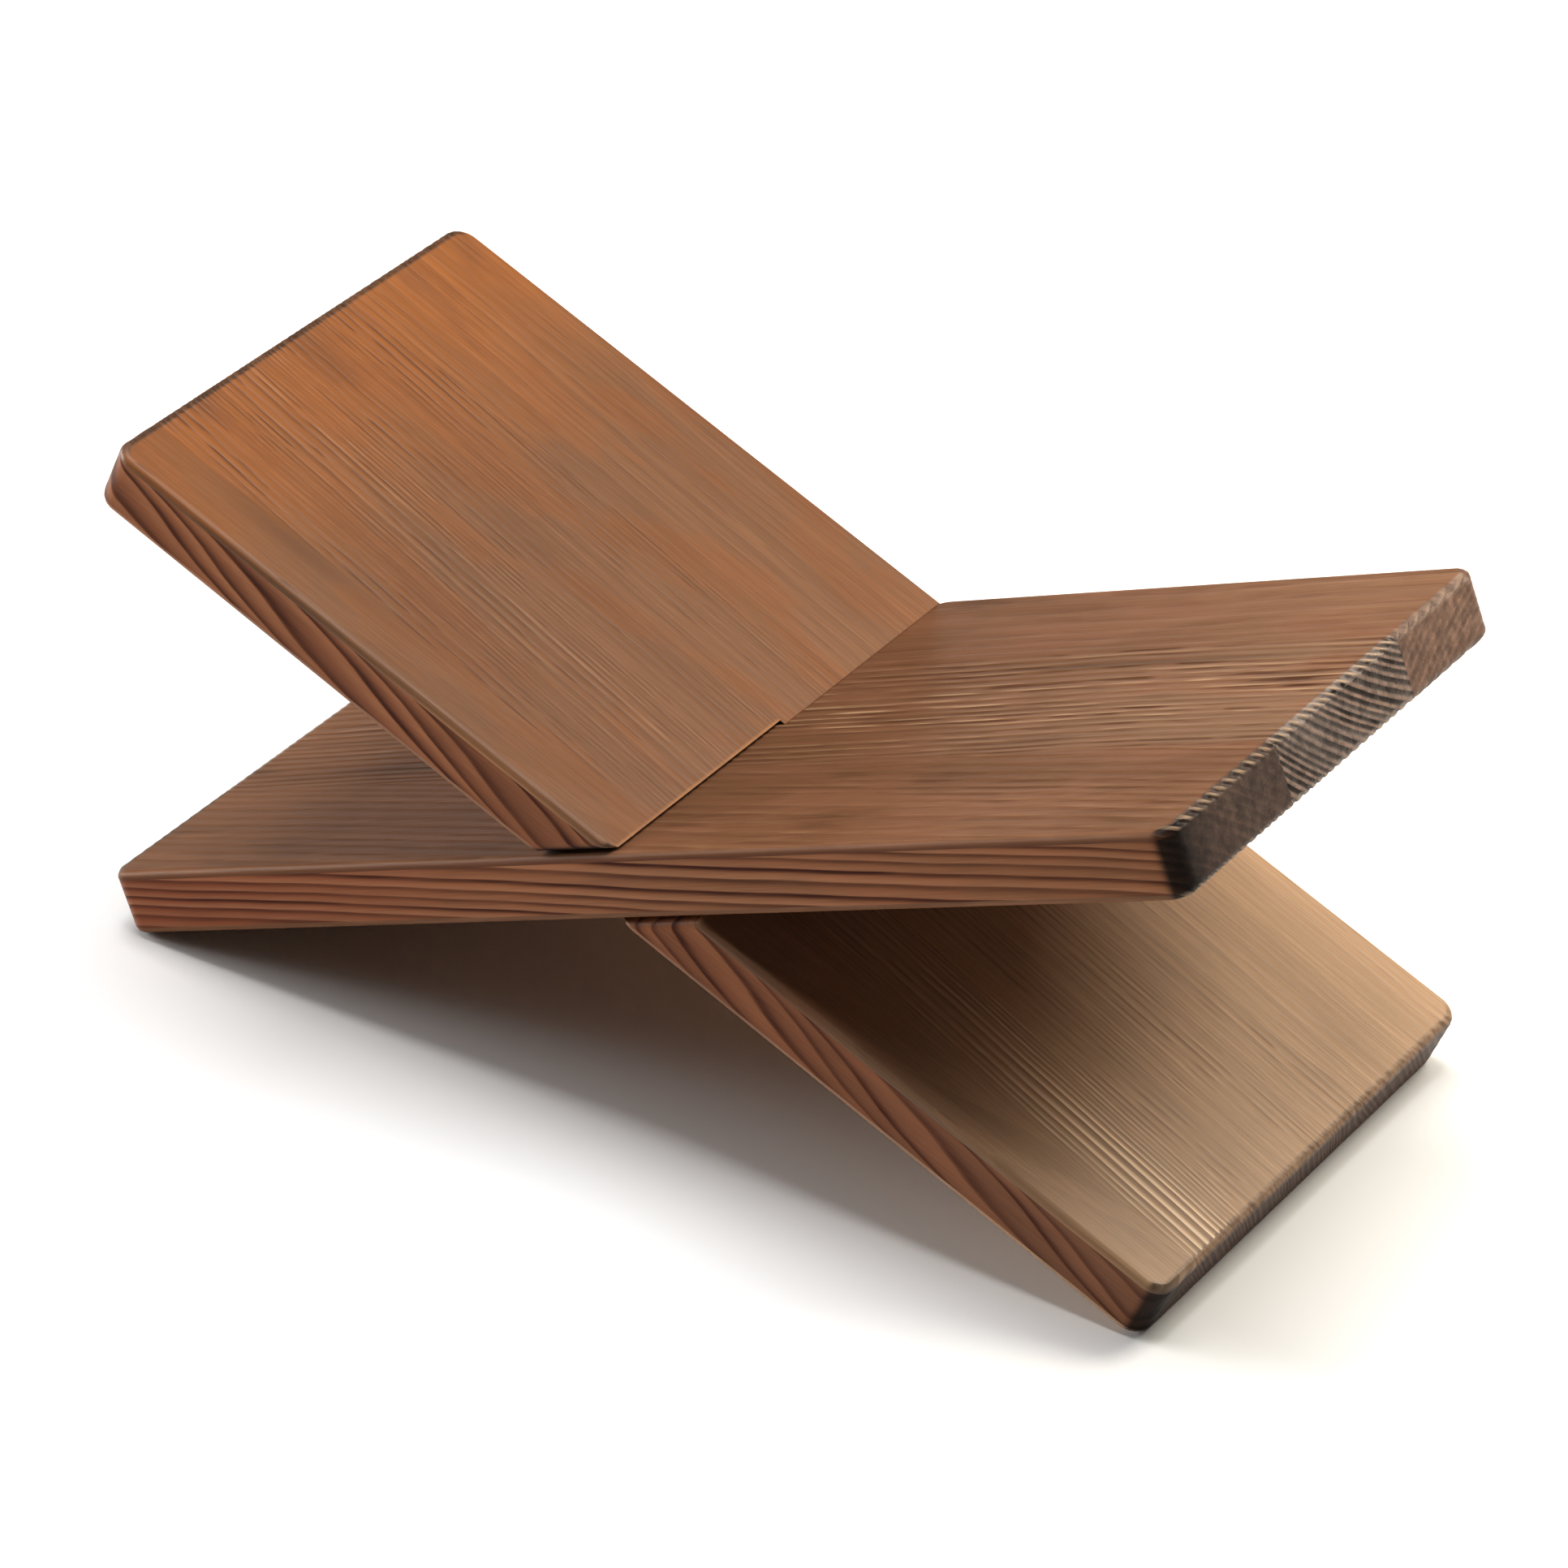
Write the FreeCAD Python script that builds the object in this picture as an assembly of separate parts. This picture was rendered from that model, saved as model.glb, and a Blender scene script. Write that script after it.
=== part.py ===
import FreeCAD, Part

import math
import os

# A book stand of two equal wooden boards that cross like a low X. Each board has one slot, half
# its width deep and cut on the slant. The slots are pushed into each other, so that each board
# fills the other one's slot and the slanted walls hold the two at their slope. The upper V carries
# an open book. The lower edges of the two legs stand on the table.
#
# Lengths are in millimetres and angles in degrees. X runs along the stand, Y along the line where
# the boards cross, and Z up. The origin is on the table, under the middle of the crossing.

# The boards
board_length = 342.0
board_width = 150.0
board_thickness = 18.0
corner_radius = 6.0
edge_easing = 2.0

# The crossing
rise_angle = 22.5

# The slots
slot_side_clearance = 0.6
slot_end_clearance = 0.4
slot_mouth_radius = 3.0

# How far a cut runs past what it cuts
cut_overrun = 5.0

# What follows from these sizes
half_length = board_length / 2
half_width = board_width / 2
half_thickness = board_thickness / 2
crossing_angle = 2 * rise_angle
half_slot_width = half_thickness + slot_side_clearance

# The axis that the boards lean round, and the one that the stand repeats round
lean_axis = FreeCAD.Vector(0, 1, 0)
upright_axis = FreeCAD.Vector(0, 0, 1)
centre = FreeCAD.Vector(0, 0, 0)


def crossing_height():
    """How high the middle of the crossing stands when the eased leg edges touch the table."""
    slope = math.radians(rise_angle)
    along = (half_length - edge_easing) * math.sin(slope)
    across = (half_thickness - edge_easing) * math.cos(slope)
    return along + across + edge_easing


def plank():
    """A board without its slot, flat and centred, with its length along X."""
    low_corner = FreeCAD.Vector(-half_length, -half_width, -half_thickness)
    block = Part.makeBox(board_length, board_width, board_thickness, low_corner)
    corners = [edge for edge in block.Edges if edge.BoundBox.ZLength > half_thickness]
    rounded = block.makeFillet(corner_radius, corners)
    rims = [edge for edge in rounded.Edges if edge.BoundBox.ZLength < half_thickness]
    return rounded.makeFillet(edge_easing, rims)


def slot_outline():
    """The slot seen along the board that fills it, with its mouth rounded, as a closed wire.

    Y runs from the mouth at the board's front edge to the slot's end just past mid-width, and Z
    across the slot, from wall to wall.
    """
    end = slot_end_clearance
    lip = slot_mouth_radius
    lip_start = lip - half_width
    mouth_half = half_slot_width + lip
    arc_inset = lip * (1 - math.cos(math.radians(45)))
    outside = -half_width - cut_overrun

    def point(y, z):
        return FreeCAD.Vector(0, y, z)

    def lip_arc(side):
        start = point(lip_start, side * half_slot_width)
        middle = point(arc_inset - half_width, side * (half_slot_width + arc_inset))
        stop = point(-half_width, side * mouth_half)
        return Part.Arc(start, middle, stop).toShape()

    def line(start, stop):
        return Part.LineSegment(start, stop).toShape()

    edges = [
        line(point(end, -half_slot_width), point(end, half_slot_width)),
        line(point(end, half_slot_width), point(lip_start, half_slot_width)),
        lip_arc(1),
        line(point(-half_width, mouth_half), point(outside, mouth_half)),
        line(point(outside, mouth_half), point(outside, -mouth_half)),
        line(point(outside, -mouth_half), point(-half_width, -mouth_half)),
        lip_arc(-1),
        line(point(lip_start, -half_slot_width), point(end, -half_slot_width)),
    ]
    return Part.Wire(edges)


def slot_cutter():
    """The slot's outline drawn out along the crossing board, far enough to pass this one."""
    crossing = math.radians(crossing_angle)
    mouth_half = half_slot_width + slot_mouth_radius
    reach = (half_thickness + mouth_half * math.cos(crossing)) / math.sin(crossing) + cut_overrun
    cutter = Part.Face(slot_outline()).extrude(FreeCAD.Vector(2 * reach, 0, 0))
    cutter.translate(FreeCAD.Vector(-reach, 0, 0))
    cutter.rotate(centre, lean_axis, -crossing_angle)
    return cutter


def parted_at_valley(board):
    """The same board with its faces parted where the arm ends and the other board begins.

    The valley is the line where the two upper faces meet. Parting the face there makes the arm's
    face, which the book lies on, a face of its own.
    """
    valley = -half_thickness * math.tan(math.radians(rise_angle))
    arm_length = half_length + valley
    low_corner = FreeCAD.Vector(valley - arm_length - cut_overrun, -board_width, -board_thickness)
    arm_space = Part.makeBox(arm_length + cut_overrun, 2 * board_width, 2 * board_thickness, low_corner)
    return board.common(arm_space).fuse(board.cut(arm_space))


def slotted_board():
    """One finished board, flat and centred, with its slot open to the front and its arm at -X."""
    return parted_at_valley(plank().cut(slot_cutter()))


def left_arm_board():
    """The board whose arm rises to the left, sloped and lifted to where it stands."""
    board = slotted_board()
    board.rotate(centre, lean_axis, rise_angle)
    board.translate(FreeCAD.Vector(0, 0, crossing_height()))
    return board


def right_arm_board():
    """The equal board, turned half round the upright axis, so that its slot opens to the rear."""
    board = left_arm_board()
    board.rotate(centre, upright_axis, 180)
    return board


def save(shape, node):
    """Writes one board as a STEP file under its node's name."""
    shape.exportStep(os.path.join("parts", node + ".step"))


os.makedirs("parts", exist_ok=True)
save(left_arm_board(), "left_arm_board")
save(right_arm_board(), "right_arm_board")
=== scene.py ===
import math

import bpy
import numpy as np
from mathutils import Matrix, Quaternion, Vector


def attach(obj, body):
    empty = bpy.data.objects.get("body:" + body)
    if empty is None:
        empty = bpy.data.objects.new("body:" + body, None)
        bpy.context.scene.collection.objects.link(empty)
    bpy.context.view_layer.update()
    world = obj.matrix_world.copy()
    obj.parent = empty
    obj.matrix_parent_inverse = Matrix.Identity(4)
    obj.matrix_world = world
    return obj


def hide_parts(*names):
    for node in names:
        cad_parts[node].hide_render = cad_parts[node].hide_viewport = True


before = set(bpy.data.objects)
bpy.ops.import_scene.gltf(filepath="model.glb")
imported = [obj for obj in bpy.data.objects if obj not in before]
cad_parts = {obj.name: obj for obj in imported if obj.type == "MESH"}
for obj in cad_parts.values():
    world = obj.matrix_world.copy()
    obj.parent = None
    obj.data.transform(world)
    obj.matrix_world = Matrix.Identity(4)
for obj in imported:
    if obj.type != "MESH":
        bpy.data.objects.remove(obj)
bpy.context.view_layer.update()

# A book stand of two equal boards that are slotted into each other like a low X. The boards are
# brushed softwood, glued up from strips. Each board is one closed surface, and its growth rings run
# through its faces, its edges and its end grain as they do in solid wood.
#
# Lengths are in metres. A board's own axes are s along it, with its arm at the negative end, y
# across it, and n through its thickness. Its slot is open towards negative y.

# The boards
board_length = 0.342
board_width = 0.150
board_thickness = 0.018
corner_radius = 0.006
edge_easing = 0.0020

# The crossing and the slots
rise_angle = math.radians(22.5)
slot_side_clearance = 0.0006
slot_end_clearance = 0.0004
slot_mouth_radius = 0.003
slot_easing = 0.0003

# The mesh: how large its cells are, how wide its band beside an edge is, and how many cells or
# steps shape a corner, a lip of the slot, the slot, an eased arris and the flat of an edge
cell_along = 0.0048
cell_across = 0.00042
edge_band = 0.0028
corner_cells = 4
lip_cells = 4
slot_cells = 8
easing_steps = 6
edge_steps = 17

# How far the lip's cells reach, in lips, and how far from the board's middle the grid, which leans
# beside the slot, is square again
lip_cover = 1.2
slant_reach = 0.080

# What follows from these
half_length = board_length / 2
half_width = board_width / 2
half_thickness = board_thickness / 2
crossing_angle = 2 * rise_angle
slot_half = (half_thickness + slot_side_clearance) / math.sin(crossing_angle)
lip_along = slot_mouth_radius / math.sin(crossing_angle)
lip_reach = slot_half + lip_cover * lip_along
crossing_height = (
    (half_length - edge_easing) * math.sin(rise_angle)
    + (half_thickness - edge_easing) * math.cos(rise_angle)
    + edge_easing
)

# The strips of each board, from its slotted edge to its whole one.
# far_side: where the strip ends across the board
# lean: how its rings lean in the end grain, in degrees
# pitch, ring_radius, start: how far apart its rings are, how they are curved in the end grain, and
#     where their count starts
# drift, swell, bow: how far they drift across for each metre along the board, how much closer they
#     come towards the faces, and how far they bow along the board
# arm_figure, leg_figure, end_figure: how boldly they show on the arm's face, the leg's and the ends
# beads: how strongly they show as beads on the rubbed arris of an end
# tip_tone_and_shade: how much of the tip's warm tone the arm has; short of it the face takes the
#     valley's darker colour, which is partly painted shade from the other board's arm
# face_shade, end_shade, end_grey: how light the faces and the ends are, and how grey the ends are
left_strips = [
    {"far_side": -0.058, "lean": 128, "pitch": 0.0054, "ring_radius": 0.60, "start": 0.0,
     "drift": -0.250, "swell": 0.73, "bow": 0.0010,
     "arm_figure": 0.05, "leg_figure": 0.05, "end_figure": 0.5, "beads": 0.5,
     "tip_tone_and_shade": 0.7, "face_shade": 0.95, "end_shade": 0.4, "end_grey": 0.3},
    {"far_side": 0.024, "lean": 50, "pitch": 0.0015, "ring_radius": 0.60, "start": 0.37,
     "drift": 0.055, "swell": 0.0, "bow": 0.0001,
     "arm_figure": 0.75, "leg_figure": 0.35, "end_figure": 0.5, "beads": 0.1,
     "tip_tone_and_shade": 1.0, "face_shade": 0.96, "end_shade": 0.4, "end_grey": 0.3},
    {"far_side": half_width, "lean": 46, "pitch": 0.0021, "ring_radius": 0.60, "start": 0.74,
     "drift": 0.045, "swell": 0.0, "bow": 0.0001,
     "arm_figure": 0.32, "leg_figure": 0.20, "end_figure": 0.5, "beads": 0.05,
     "tip_tone_and_shade": 1.0, "face_shade": 0.99, "end_shade": 0.4, "end_grey": 0.3},
]
right_strips = [
    {"far_side": -0.034, "lean": 22, "pitch": 0.0023, "ring_radius": 0.20, "start": 0.0,
     "drift": -0.004, "swell": 0.0, "bow": 0.0002,
     "arm_figure": 0.30, "leg_figure": 0.20, "end_figure": 0.25, "beads": 0.25,
     "tip_tone_and_shade": 0.55, "face_shade": 0.88, "end_shade": 0.78, "end_grey": 0.5},
    {"far_side": 0.025, "lean": -38, "pitch": 0.0022, "ring_radius": -0.180, "start": 1.16,
     "drift": -0.006, "swell": 0.0, "bow": 0.0006,
     "arm_figure": 0.88, "leg_figure": 0.35, "end_figure": 1.0, "beads": 1.0,
     "tip_tone_and_shade": 1.0, "face_shade": 0.82, "end_shade": 0.88, "end_grey": 1.0},
    # This strip's dark end is painted shade, as the front of that end gets little light
    {"far_side": half_width, "lean": -38, "pitch": 0.0025, "ring_radius": 0.20, "start": 0.74,
     "drift": -0.055, "swell": 0.0, "bow": 0.0003,
     "arm_figure": 0.48, "leg_figure": 0.25, "end_figure": 0.22, "beads": 0.8,
     "tip_tone_and_shade": 0.25, "face_shade": 0.84, "end_shade": 0.38, "end_grey": 0.6},
]

# The timber of each board. Values marked as a pair are the arm's and the leg's.
# sway, uneven, seed: how far its rings sway, how uneven they are, and where their waves start
# pale_rings_at, pale_rings_slant, pale_rings_reach: where across the board's middle a bundle of
#     pale rings runs, how far it moves across for each metre along, and how far it reaches
# steady_rings: how unbroken the rings of that bundle are on the leg
# pale_faces, pale_edges: how strongly pale lines show on the faces and the long edges, each a pair;
#     on the left board's leg the strong pale lines are partly a painted highlight of ridges in the
#     light
# streaks_and_shade: dark streaks, and on the right board one streak of painted shade, as middle
#     along, middle across, half length, half width and depth
# wear_and_shade_stretches: where the long arrises take their arris colour, as middle along, half
#     length and depth; on the left board that is pale wear, partly a painted highlight, and on the
#     right board dark painted shade
# end_brushing, end_arris_brushing: how deep the ends are brushed, flat and arris, each a pair
# rubbed_ends: how much the arrises of the ends are rubbed pale between the rings, a pair
# bare_end_arrises: how much of the face's tone those arrises keep, a pair
# painted_shade_corner: which upright corner is darkened as painted shade, as its signs along and
#     across
# tip_tone_and_shade_ends, leg_tone_and_light_slant: where along the board the tip's tone ends and
#     the valley's colour with its painted shade takes over, and how far back the start of the leg's
#     tone, with its painted sheen, moves for each metre across
left_timber = {
    "strips": left_strips, "sway": 0.00008, "uneven": 0.0010, "seed": 3.1,
    "pale_rings_at": -0.034, "pale_rings_slant": -0.09, "pale_rings_reach": 0.010,
    "steady_rings": 1.0, "pale_faces": (0.15, 2.0), "pale_edges": (1.0, 0.35),
    "streaks_and_shade": [(-0.124, -0.0605, 0.026, 0.0042, 0.6), (-0.080, -0.0560, 0.024, 0.0070, 0.3)],
    "wear_and_shade_stretches": [(-0.045, 0.045, 1.0), (0.150, 0.022, 1.0)],
    "end_brushing": (0.00010, 0.00012), "end_arris_brushing": (0.00010, 0.00015),
    "rubbed_ends": (0.05, 1.0), "bare_end_arrises": (0.0, 0.8),
    "painted_shade_corner": (1, -1), "tip_tone_and_shade_ends": -0.075, "leg_tone_and_light_slant": 0.35,
}
right_timber = {
    "strips": right_strips, "sway": 0.00010, "uneven": 0.0005, "seed": 8.4,
    "pale_rings_at": -0.004, "pale_rings_slant": 0.0, "pale_rings_reach": 0.022,
    "steady_rings": 0.0, "pale_faces": (1.1, 0.5), "pale_edges": (0.6, 0.6),
    "streaks_and_shade": [(-0.105, -0.0255, 0.050, 0.0016, 1.0), (0.110, 0.0160, 0.030, 0.0040, 0.8),
                # The first streak below is painted shade on the front strip towards the valley,
                # where the other board's arm shades it
                (-0.060, 0.0420, 0.090, 0.0130, 0.40), (0.176, 0.0560, 0.016, 0.0300, 0.50)],
    "wear_and_shade_stretches": [(0.0, 0.500, 1.0)],
    "end_brushing": (0.00042, 0.00012), "end_arris_brushing": (0.00070, 0.00012),
    "rubbed_ends": (0.9, 0.4), "bare_end_arrises": (0.0, 0.0),
    "painted_shade_corner": (-1, 1), "tip_tone_and_shade_ends": -0.005, "leg_tone_and_light_slant": 0.0,
}

# The waves of the rings: how long their bow is and how it shifts across the board, how long their
# unevenness is and how it shifts from strip to strip, and for each sway its length, its share, and
# how it shifts across and through the board and with the timber's seed
bow_wave = 0.210
bow_shift_across = 9
uneven_wave = 0.0173
uneven_shift_per_strip = 2.0
sways = [
    {"wave": 0.083, "share": 1.0, "across": 31, "through": 25, "per_seed": 2.3},
    {"wave": 0.031, "share": 0.5, "across": 170, "through": -60, "per_seed": 4.1},
]

# The groove of a ring's soft part, as shares of the ring: where it starts, is deepest, and rises
groove_start = 0.25
groove_full = 0.68
groove_rise = 0.84

# How deep the brushing takes the soft wood out on faces and long edges, and how fast that depth
# comes with the boldness of the figure on faces and on ends
face_brushing = 0.00014
edge_brushing = 0.00005
face_brushing_gain = 1.8
end_brushing_gain = 1.2

# How much of an end's brushing its lower arris has, and how much of the arris's brushing reaches
# the outermost line of a face
lower_arris_share = 0.4
face_line_share = 0.55

# The corner's painted shade: how far the rim has to face the end to be beside it, and how far it
# fades
corner_shade_facing = 0.7
corner_shade_fade = 0.010

# Where along the board the arm's look gives way to the leg's: the lines on the faces, the tone of
# the faces, and the lines on the long edges. On the left board the leg's pale tone and lines are
# partly painted sheen and highlight, and the slow start of that tone from the crossing is painted
# shade under the other board's arm
face_lines_change = (0.05, 0.15)
leg_tone_and_light_change = (0.0, 0.15)
edge_lines_change = (-0.11, 0.02)

# How much of the pale lines a face has away from the pale bundle, and how fast pale lines come with
# the boldness of the figure
stray_pale_lines = 0.15
pale_line_gain = 3

# The angle past which an edge is shaded sharp
sharp_edge = math.radians(50)


# The grid that a board is drawn on


def lines_through(stops, cell):
    """Line places through every stop, with even cells of about the given width between them."""
    places = [np.array([stops[0]])]
    for start, stop in zip(stops[:-1], stops[1:]):
        cells = max(1, round((stop - start) / cell))
        places.append(np.linspace(start, stop, cells + 1)[1:])
    return np.concatenate(places)


def length_lines():
    """Lines across the board, close together at its ends and beside the slot."""
    lip = np.linspace(slot_half, lip_reach, lip_cells + 1)
    arm = lines_through([lip_reach, half_length - corner_radius], cell_along)[1:]
    corner = np.linspace(half_length - corner_radius, half_length - edge_band, corner_cells + 1)[1:]
    side = np.concatenate([lip, arm, corner, [half_length]])
    slot = np.linspace(-slot_half, slot_half, slot_cells + 1)[1:-1]
    return np.concatenate([-side[::-1], slot, side])


def width_lines(strips):
    """Lines along the board, with one on each glue line and one on the slot's end."""
    joints = [strip["far_side"] for strip in strips[:-1]]
    inner = sorted([edge_band - half_width, slot_end_clearance, half_width - edge_band] + joints)
    even = lines_through(inner, cell_across)
    return np.concatenate([[-half_width], even, [half_width]])


def rounded_corner(s, y, corner_s, corner_y, size_s, size_y):
    """Bends a square corner of the grid into a quarter of an ellipse.

    The ellipse's centre is the corner less the signed sizes. With a and b as the shares of the way
    from the centre to the two sides, a point goes to (a, b) times the larger of them over the
    length of (a, b). Returns the new places, which points moved, and the ellipse's normals.
    """
    # A little over 1, so that the sides themselves count as inside in spite of rounding
    just_past = 1.0001
    a = (s - corner_s + size_s) / size_s
    b = (y - corner_y + size_y) / size_y
    inside = (a > 0) & (b > 0) & (a < just_past) & (b < just_past)
    a = np.where(inside, a, 1.0)
    b = np.where(inside, b, 0.0)
    shrink = np.maximum(a, b) / np.hypot(a, b)
    new_s = np.where(inside, corner_s - size_s + size_s * a * shrink, s)
    new_y = np.where(inside, corner_y - size_y + size_y * b * shrink, y)
    normal = np.stack([a / size_s, b / size_y], axis=-1)
    normal /= np.linalg.norm(normal, axis=-1, keepdims=True)
    return new_s, new_y, inside, normal


def rounded_corners():
    """The corners of the outline that are rounded: four plan corners and the slot's two lips."""
    plan = [
        (along * half_length, across * half_width, along * corner_radius, across * corner_radius)
        for along in (-1, 1)
        for across in (-1, 1)
    ]
    lips = [(side * slot_half, -half_width, -side * lip_along, -slot_mouth_radius)
            for side in (-1, 1)]
    return plan + lips


def outline_runs(last_s, last_y, slot_start, slot_stop, slot_end):
    """The straight runs of the outline, anticlockwise: grid indices, outward direction, if slot."""
    return [
        (np.arange(slot_stop, last_s), 0, (0, -1), False),
        (last_s, np.arange(0, last_y), (1, 0), False),
        (np.arange(last_s, 0, -1), last_y, (0, 1), False),
        (0, np.arange(last_y, 0, -1), (-1, 0), False),
        (np.arange(0, slot_start), 0, (0, -1), False),
        (slot_start, np.arange(0, slot_end), (1, 0), True),
        (np.arange(slot_start, slot_stop), slot_end, (0, -1), True),
        (slot_stop, np.arange(slot_end, 0, -1), (-1, 0), True),
    ]


def smooth_step(value, low, high):
    """0 below low, 1 above high, and 3 t squared less 2 t cubed between them."""
    share = np.clip((value - low) / (high - low), 0, 1)
    return share * share * (3 - 2 * share)


def board_grid(strips):
    """The plan of a board: the places of its grid's nodes, which nodes and cells are kept, and its
    outline as grid indices, with the outward direction and the slot's share at each of its nodes."""
    s_lines = length_lines()
    y_lines = width_lines(strips)
    slot_start = int(np.argmin(np.abs(s_lines + slot_half)))
    slot_stop = int(np.argmin(np.abs(s_lines - slot_half)))
    slot_end = int(np.argmin(np.abs(y_lines - slot_end_clearance)))
    s, y = np.meshgrid(s_lines, y_lines, indexing="ij")
    i, j = np.indices(s.shape)
    node_kept = ~((i > slot_start) & (i < slot_stop) & (j < slot_end))
    cell_kept = ~((i >= slot_start) & (i < slot_stop) & (j < slot_end))[:-1, :-1]

    runs = outline_runs(len(s_lines) - 1, len(y_lines) - 1, slot_start, slot_stop, slot_end)
    pairs = [np.broadcast_arrays(run[0], run[1]) for run in runs]
    outline = tuple(np.concatenate(indices) for indices in zip(*pairs))
    counts = [len(pair[0]) for pair in pairs]
    outward = np.repeat(np.array([run[2] for run in runs], float), counts, axis=0)
    in_slot = np.repeat([float(run[3]) for run in runs], counts)

    # At the two corners in the slot, a node faces both ways
    first_of_run = np.cumsum([0] + counts[:-1])
    for corner in first_of_run[-2:]:
        outward[corner] += outward[corner - 1]

    normal_s = np.zeros_like(s)
    normal_y = np.zeros_like(s)
    slot_share = np.zeros_like(s)
    normal_s[outline] = outward[:, 0]
    normal_y[outline] = outward[:, 1]
    slot_share[outline] = in_slot
    for corner_s, corner_y, size_s, size_y in rounded_corners():
        s, y, inside, normal = rounded_corner(s, y, corner_s, corner_y, size_s, size_y)
        normal_s = np.where(inside, normal[..., 0], normal_s)
        normal_y = np.where(inside, normal[..., 1], normal_y)
        is_lip = abs(corner_s) < half_length
        if is_lip:
            slot_share = np.where(inside, np.abs(normal[..., 0]) ** 2, slot_share)
    return {
        "s": s, "y": y, "node_kept": node_kept, "cell_kept": cell_kept, "outline": outline,
        "normal_s": normal_s[outline], "normal_y": normal_y[outline],
        "slot_share": slot_share[outline],
    }


# The growth rings


def strip_at(y, strips):
    """Which strip each place across the board is in."""
    joints = [strip["far_side"] for strip in strips[:-1]]
    return np.searchsorted(joints, y)


def of_strip(name, strip, strips):
    """One value of the strips, picked for each point."""
    return np.array([each[name] for each in strips])[strip]


def of_end(name, s, timber):
    """One value of the timber that is a pair, picked for each point by the end it is nearer to."""
    arm, leg = timber[name]
    return np.where(s < 0, arm, leg)


def strip_middles(strips):
    """Where the middle of each strip lies across the board."""
    sides = np.array([-half_width] + [strip["far_side"] for strip in strips])
    return (sides[:-1] + sides[1:]) / 2


def ring_sway(s, y, n, timber):
    """How far rings sway: the sum of each sway's share times a sine along the board, its phase
    shifted across, through and by the seed."""
    shares = [
        sway["share"] * np.sin(
            math.tau * s / sway["wave"] + sway["across"] * y + sway["through"] * n
            + sway["per_seed"] * timber["seed"]
        )
        for sway in sways
    ]
    return timber["sway"] * np.sum(shares, axis=0)


def ring_number(s, y, n, strip, timber):
    """How many rings lie between a point and the strip's first one.

    The distance across the rings is n cos(lean) + y sin(lean) + drift times s, where n first grows
    by the swell times the square of its share of the half thickness. To it come the square of the
    way along the ring over twice its radius, a slow bow and a short sway along the board. A sine of
    that distance makes the rings uneven, and the pitch turns the distance into a number.
    """
    strips = timber["strips"]
    seed = timber["seed"]
    lean = np.radians(of_strip("lean", strip, strips))
    swollen = n * (1 + of_strip("swell", strip, strips) * (n / half_thickness) ** 2)
    across = swollen * np.cos(lean) + y * np.sin(lean) + of_strip("drift", strip, strips) * s
    along_ring = (y - strip_middles(strips)[strip]) * np.cos(lean) - n * np.sin(lean)
    bend = along_ring ** 2 / (2 * of_strip("ring_radius", strip, strips))
    bow = of_strip("bow", strip, strips) * np.sin(
        math.tau * s / bow_wave + bow_shift_across * y + seed
    )
    distance = across + bend + bow + ring_sway(s, y, n, timber)
    uneven = timber["uneven"] * np.sin(
        math.tau * distance / uneven_wave + seed + uneven_shift_per_strip * strip
    )
    return (distance + uneven) / of_strip("pitch", strip, strips) + of_strip("start", strip, strips)


def face_figure(s, strip, strips):
    """How boldly the rings show on a face, changing evenly from the arm's end to the leg's."""
    share = s / board_length + 0.5
    arm = of_strip("arm_figure", strip, strips)
    leg = of_strip("leg_figure", strip, strips)
    return arm + (leg - arm) * share


def pale_bundle(s, y, timber):
    """How near a place is to the slanting bundle of pale rings: a Gaussian across the board."""
    middle = timber["pale_rings_at"] + timber["pale_rings_slant"] * s
    return np.exp(-((y - middle) / timber["pale_rings_reach"]) ** 2)


def pale_lines(s, y, rim, timber):
    """How strongly pale lines show. On a face they show most in the pale bundle. On face and edge
    the strength goes smoothly from the arm's to the leg's."""
    arm, leg = timber["pale_faces"]
    face = arm + (leg - arm) * smooth_step(s, *face_lines_change)
    face *= stray_pale_lines + (1 - stray_pale_lines) * pale_bundle(s, y, timber)
    arm, leg = timber["pale_edges"]
    edge = arm + (leg - arm) * smooth_step(s, *edge_lines_change)
    return face * (1 - rim) + edge * rim


def dark_streaks(s, y, timber):
    """Dark streaks and streaks of painted shade: the sum of a two-way Gaussian round each one's
    middle.
    """
    shares = [depth * np.exp(-((s - middle_s) / half_s) ** 2 - ((y - middle_y) / half_y) ** 2)
              for middle_s, middle_y, half_s, half_y, depth in timber["streaks_and_shade"]]
    return np.sum(shares, axis=0)


def wear_and_shade_stretches(s, timber):
    """How much of the arris colour the long arrises take along the board: the sum of a Gaussian for
    each stretch. On one board that colour is pale wear and partly painted highlight, on the other
    painted shade.
    """
    shares = [depth * np.exp(-((s - middle) / half_s) ** 2)
              for middle, half_s, depth in timber["wear_and_shade_stretches"]]
    return np.sum(shares, axis=0)


def groove(ring):
    """0 on the hard part of a ring, sinking to 1 in its soft part and ending sharply."""
    share = ring - np.floor(ring)
    return smooth_step(share, groove_start, groove_full) * (1 - smooth_step(share, groove_rise, 1.0))


# The surface of a board


def slanted(s, n):
    """Leans the grid along the slot's walls: s grows by n over the tangent of the crossing angle,
    in full beside the slot and fading to nothing along the arm and the leg."""
    weight = 1 - smooth_step(np.abs(s), lip_reach, slant_reach)
    return s + weight * n / math.tan(crossing_angle)


def face_surface(grid, easing, side):
    """Places and outward directions of the upper face, where side is 1, or the lower one, where it
    is -1. The outermost line stands in from the outline by the easing."""
    s, y = grid["s"].copy(), grid["y"].copy()
    s[grid["outline"]] -= easing * grid["normal_s"]
    y[grid["outline"]] -= easing * grid["normal_y"]
    s, y = s[grid["node_kept"]], y[grid["node_kept"]]
    places = np.stack([s, y, np.full(len(s), side * half_thickness)], axis=-1)
    outward = np.tile(np.array([0.0, 0.0, side]), (len(s), 1))
    return places, outward


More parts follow.
